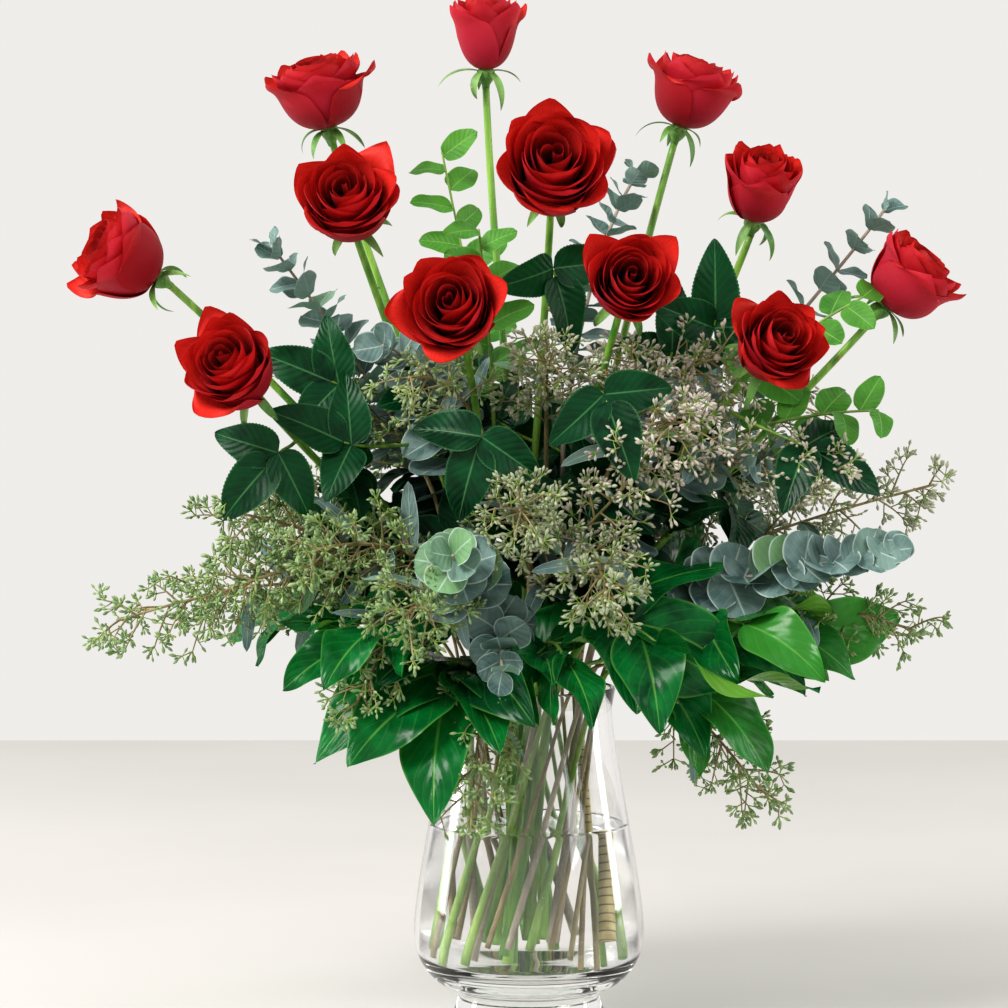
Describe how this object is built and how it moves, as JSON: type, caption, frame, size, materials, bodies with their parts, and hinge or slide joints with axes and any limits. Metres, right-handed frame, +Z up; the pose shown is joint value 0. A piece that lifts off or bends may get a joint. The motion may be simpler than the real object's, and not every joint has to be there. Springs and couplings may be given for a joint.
{
  "type": "roses in a vase",
  "caption": "Tall fan of long-stemmed red roses with eucalyptus and broad green leaves, standing in a clear footed glass vase of water.",
  "frame": {"origin": "centre of the vase's flat foot, on the surface it stands on", "axes": "+Z up the vase's axis towards the blooms, +X to the arrangement's right as its front is seen, -Y towards its front, the side that the open blooms face"},
  "size_m": [0.5256, 0.3656, 0.6192],
  "materials": {
    "glass": "clear",
    "water": "clear",
    "rose_petal": "soft velvet",
    "rose_stem": "satin",
    "rose_leaf": "satin",
    "seeded_eucalyptus": "matt",
    "spiral_eucalyptus": "matt with a waxy bloom",
    "light_sprig": "satin",
    "lemon_leaf": "glossy"
  },
  "bodies": {
    "root": {"vase": "glass", "water": "water", "rose_01_bloom": "rose_petal", "rose_02_bloom": "rose_petal", "rose_03_bloom": "rose_petal", "rose_04_bloom": "rose_petal", "rose_05_bloom": "rose_petal", "rose_06_bloom": "rose_petal", "rose_07_bloom": "rose_petal", "rose_08_bloom": "rose_petal", "rose_09_bloom": "rose_petal", "rose_10_bloom": "rose_petal", "rose_11_bloom": "rose_petal", "rose_12_bloom": "rose_petal", "rose_01_stem": "rose_stem", "rose_02_stem": "rose_stem", "rose_03_stem": "rose_stem", "rose_04_stem": "rose_stem", "rose_05_stem": "rose_stem", "rose_06_stem": "rose_stem", "rose_07_stem": "rose_stem", "rose_08_stem": "rose_stem", "rose_09_stem": "rose_stem", "rose_10_stem": "rose_stem", "rose_11_stem": "rose_stem", "rose_12_stem": "rose_stem", "rose_02_leaf": "rose_leaf", "rose_03_leaf": "rose_leaf", "rose_04_leaf": "rose_leaf", "rose_05_leaf": "rose_leaf", "rose_06_leaf": "rose_leaf", "rose_08_leaf": "rose_leaf", "rose_09_leaf": "rose_leaf", "rose_11_leaf": "rose_leaf", "rose_12_leaf": "rose_leaf", "seeded_eucalyptus_01": "seeded_eucalyptus", "seeded_eucalyptus_02": "seeded_eucalyptus", "seeded_eucalyptus_03": "seeded_eucalyptus", "seeded_eucalyptus_04": "seeded_eucalyptus", "seeded_eucalyptus_05": "seeded_eucalyptus", "seeded_eucalyptus_06": "seeded_eucalyptus", "seeded_eucalyptus_07": "seeded_eucalyptus", "seeded_eucalyptus_08": "seeded_eucalyptus", "seeded_eucalyptus_09": "seeded_eucalyptus", "seeded_eucalyptus_10": "seeded_eucalyptus", "seeded_eucalyptus_11": "seeded_eucalyptus", "spiral_eucalyptus_01": "spiral_eucalyptus", "spiral_eucalyptus_02": "spiral_eucalyptus", "spiral_eucalyptus_03": "spiral_eucalyptus", "spiral_eucalyptus_04": "spiral_eucalyptus", "spiral_eucalyptus_05": "spiral_eucalyptus", "light_sprig_01": "light_sprig", "lemon_leaf_01": "lemon_leaf", "lemon_leaf_02": "lemon_leaf", "lemon_leaf_03": "lemon_leaf", "lemon_leaf_04": "lemon_leaf", "lemon_leaf_05": "lemon_leaf", "lemon_leaf_06": "lemon_leaf", "lemon_leaf_07": "lemon_leaf", "lemon_leaf_08": "lemon_leaf"}
  },
  "joints": []
}
